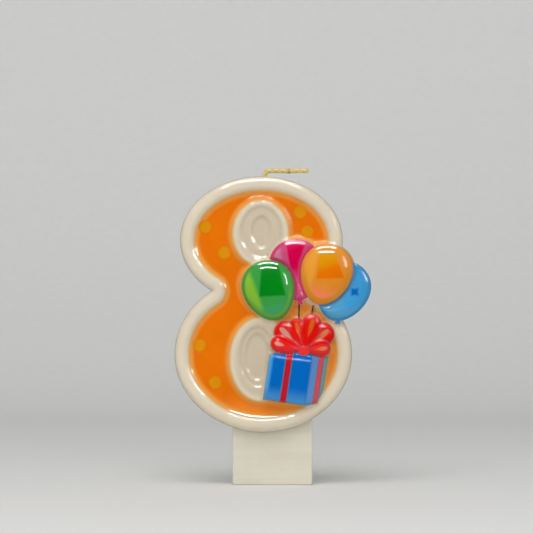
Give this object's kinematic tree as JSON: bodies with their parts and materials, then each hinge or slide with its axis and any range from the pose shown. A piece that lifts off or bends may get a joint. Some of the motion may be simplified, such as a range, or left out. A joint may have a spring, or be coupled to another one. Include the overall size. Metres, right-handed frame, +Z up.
{
  "type": "numeral birthday candle",
  "caption": "Wax birthday candle shaped as the numeral eight, with relief balloons, a bow and a gift box, a wick and a flat foot for a cake.",
  "frame": {"origin": "middle of the flat lower end of the foot, which is pushed into the cake", "axes": "+X to the right as the numeral is read, +Y from the decorated front to the flat back, +Z up"},
  "size_m": [0.0532, 0.0135, 0.0859],
  "materials": {
    "white_wax": "glossy translucent white wax",
    "foot_wax": "satin white wax",
    "orange_wax": "glossy orange wax",
    "yellow_wax": "glossy golden wax",
    "red_wax": "glossy red wax",
    "green_wax": "glossy green wax",
    "light_orange_wax": "glossy light orange wax",
    "pink_wax": "glossy deep pink wax",
    "light_blue_wax": "glossy light blue wax",
    "blue_wax": "glossy blue wax",
    "crimson_wax": "glossy crimson wax",
    "dark_wax": "glossy near-black wax",
    "wick_cotton": "braided cotton stiffened with wax"
  },
  "bodies": {
    "candle": {"wax_body": "white_wax", "foot_tab": "foot_wax", "orange_band": "orange_wax", "dot_1": "yellow_wax", "dot_2": "yellow_wax", "dot_3": "yellow_wax", "dot_4": "yellow_wax", "dot_5": "yellow_wax", "dot_6": "yellow_wax", "bow_knot": "red_wax", "bow_loop_1": "red_wax", "bow_loop_2": "red_wax", "bow_loop_3": "red_wax", "bow_loop_4": "red_wax", "bow_loop_5": "red_wax", "bow_loop_6": "red_wax", "balloon_green": "green_wax", "balloon_orange": "light_orange_wax", "balloon_pink": "pink_wax", "knot_pink": "pink_wax", "balloon_blue": "light_blue_wax", "knot_blue": "light_blue_wax", "ribbon_front": "crimson_wax", "ribbon_side": "crimson_wax", "gift_box": "blue_wax", "string_pink": "dark_wax", "string_orange": "dark_wax", "wick_core": "wick_cotton"},
    "wick": {"wick_tip": "wick_cotton"}
  },
  "joints": [
    {"name": "wick_bend", "type": "hinge", "parent": "candle", "child": "wick", "pos_m": [-0.0021, -0.00175, 0.08529], "axis": [0, -1, 0], "range_deg": [0, 90]}
  ]
}
